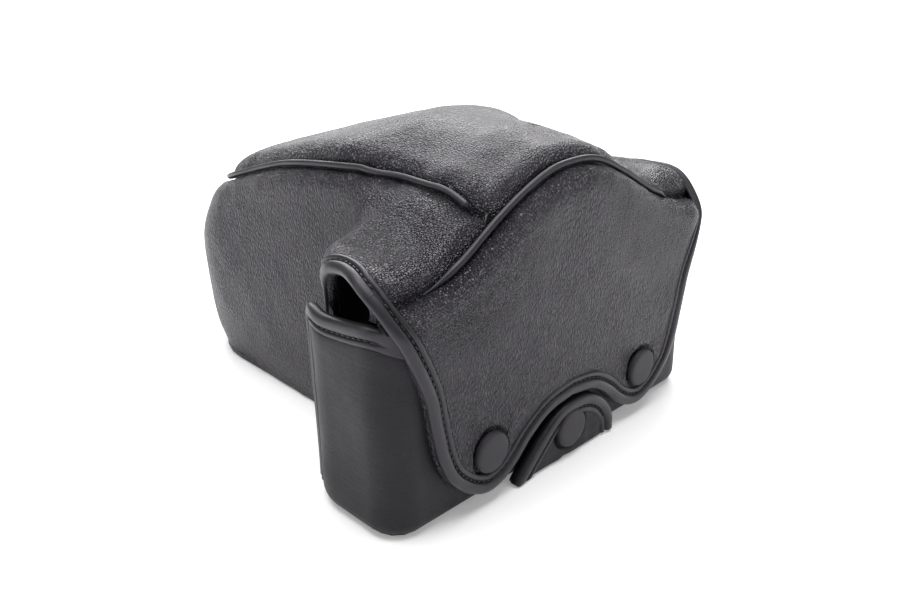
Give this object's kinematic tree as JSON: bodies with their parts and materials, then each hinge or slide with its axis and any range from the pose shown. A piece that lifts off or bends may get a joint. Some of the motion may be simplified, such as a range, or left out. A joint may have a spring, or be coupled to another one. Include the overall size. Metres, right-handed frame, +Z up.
{
  "type": "ever-ready camera case",
  "caption": "Black leather ever-ready case for a 35 mm reflex camera, with a deep lens nose, a snap-down back flap and a snap tab over a rounded base.",
  "frame": {"origin": "on the floor plane, in the symmetry plane of the case, in the middle between the back snaps and under the camera body part; the screw axis passes through it", "axes": "+X along the camera body, -Y along the lens nose, +Y out of the back with the flap, +Z up"},
  "size_m": [0.1546, 0.1718, 0.106],
  "materials": {
    "leather_cover": "grained black leather, semi-gloss",
    "leather_base": "fine grained black leather, satin",
    "binding": "smooth black leather binding, satin",
    "lining": "black flock lining",
    "snap_cap": "matte black coated snap cap",
    "snap_metal": "nickel-plated brass",
    "screw_metal": "turned steel",
    "board": "pressed fibre board"
  },
  "bodies": {
    "base": {"base_shell": "leather_base", "base_lining": "lining", "base_board": "board", "base_rim_binding": "binding", "sole": "leather_base", "screw_grommet": "snap_metal", "snap_stud_left": "snap_metal", "snap_stud_right": "snap_metal", "snap_stud_tab": "snap_metal", "snap_washer_left": "snap_metal", "snap_washer_right": "snap_metal", "snap_washer_tab": "snap_metal"},
    "screw": {"tripod_screw": "screw_metal", "screw_retaining_ring": "screw_metal"},
    "tab": {"tab_panel": "leather_base", "tab_binding": "binding", "snap_socket_tab": "snap_metal", "snap_cap_tab": "snap_cap"},
    "cover": {"top_panel": "leather_cover", "side_panel": "leather_cover", "back_yoke": "leather_cover", "nose_floor": "leather_cover", "cover_lining": "lining", "back_piping": "binding", "front_piping": "binding", "arch_binding_left": "binding", "arch_binding_right": "binding"},
    "flap": {"flap_panel": "leather_cover", "flap_lining": "lining", "flap_binding": "binding", "snap_socket_left": "snap_metal", "snap_socket_right": "snap_metal", "snap_cap_left": "snap_cap", "snap_cap_right": "snap_cap"}
  },
  "joints": [
    {"name": "cover_lift", "type": "slide", "parent": "base", "child": "cover", "axis": [0, 0, 1], "range_m": [0, 0.126]},
    {"name": "flap_lift", "type": "hinge", "parent": "cover", "child": "flap", "pos_m": [0, 0.0324, 0.069], "axis": [1, 0, 0], "range_deg": [0, 120]},
    {"name": "tab_fold", "type": "hinge", "parent": "base", "child": "tab", "pos_m": [0, 0.0323, 0.001], "axis": [-1, 0, 0], "range_deg": [0, 70]},
    {"name": "tripod_screw_turn", "type": "hinge", "parent": "base", "child": "screw", "pos_m": [0, 0.012, 0.001], "axis": [0, 0, 1], "continuous": true}
  ]
}
